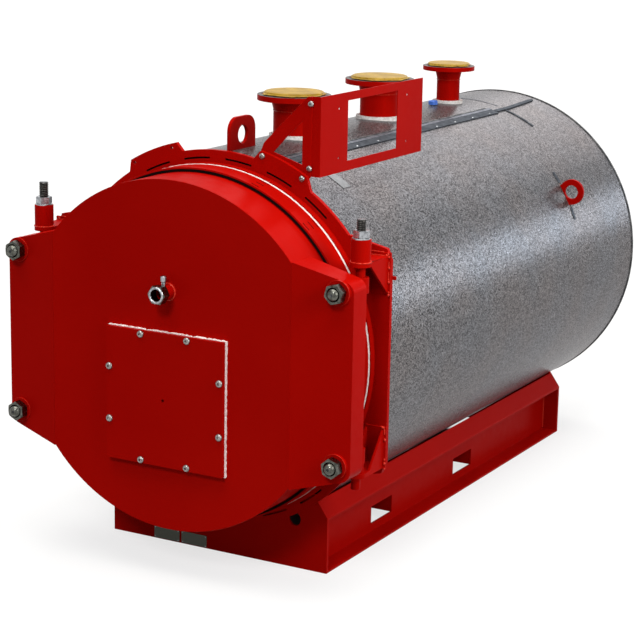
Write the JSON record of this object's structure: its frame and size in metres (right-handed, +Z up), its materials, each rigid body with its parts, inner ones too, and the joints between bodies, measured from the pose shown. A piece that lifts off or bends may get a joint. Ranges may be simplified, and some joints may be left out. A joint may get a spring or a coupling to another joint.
{
  "type": "industrial boiler",
  "caption": "Horizontal fire-tube hot-water boiler with a hinged round red front door, galvanised cladding, flanged nozzles on top and a red base frame.",
  "frame": {"origin": "centre of the footprint of the whole part, on the floor", "axes": "+Z up, -Y out of the door face, +X to the viewer's right seen from the front"},
  "size_m": [1.274, 2.647, 1.541],
  "materials": {
    "red_paint": "gloss",
    "galvanised": "satin",
    "bolt_steel": "satin",
    "zinc": "satin",
    "mill_steel": "rough",
    "refractory": "rough",
    "mineral_wool": "rough",
    "rope": "rough",
    "yellow_plastic": "satin",
    "blue_plastic": "satin"
  },
  "bodies": {
    "boiler_body": {"base_beam_left": "red_paint", "base_beam_right": "red_paint", "base_front_plate": "red_paint", "base_rear_plate": "red_paint", "cladding": "galvanised", "control_gusset": "red_paint", "control_plate": "red_paint", "flue_spigot": "galvanised", "fork_pocket_front": "red_paint", "fork_pocket_rear": "red_paint", "front_ring_plate": "red_paint", "furnace_tube": "mill_steel", "hinge_bracket_left_lower": "red_paint", "hinge_bracket_left_upper": "red_paint", "hinge_bracket_right_lower": "red_paint", "hinge_bracket_right_upper": "red_paint", "hinge_pin_left_lower": "bolt_steel", "hinge_pin_left_upper": "bolt_steel", "hinge_pin_right_lower": "bolt_steel", "hinge_pin_right_upper": "bolt_steel", "lifting_eye_front": "red_paint", "lifting_eye_left": "red_paint", "lifting_eye_right": "red_paint", "nozzle_cover_front": "yellow_plastic", "nozzle_cover_middle": "yellow_plastic", "nozzle_cover_rear": "yellow_plastic", "nozzle_front": "red_paint", "nozzle_middle": "red_paint", "nozzle_rear": "red_paint", "pressure_shell": "mill_steel", "rear_head": "mill_steel", "rear_panel": "galvanised", "sensor_cap": "blue_plastic", "shell_insulation": "mineral_wool", "tube_sheet": "mill_steel"},
    "door": {"burner_gasket": "rope", "burner_plate": "red_paint", "burner_throat": "refractory", "door_band": "red_paint", "door_ear_left": "red_paint", "door_ear_right": "red_paint", "door_face": "red_paint", "door_frame": "red_paint", "door_gasket": "rope", "door_insulation": "refractory", "eye_bolt_left_lower": "bolt_steel", "eye_bolt_left_upper": "bolt_steel", "eye_bolt_right_lower": "bolt_steel", "eye_bolt_right_upper": "bolt_steel", "sight_port": "red_paint", "sight_valve": "zinc"}
  },
  "joints": [
    {"name": "door_swing", "type": "hinge", "parent": "boiler_body", "child": "door", "pos_m": [0.59, -1.0985, 0.736], "axis": [0, 0, 1], "range_deg": [0, 90]}
  ]
}
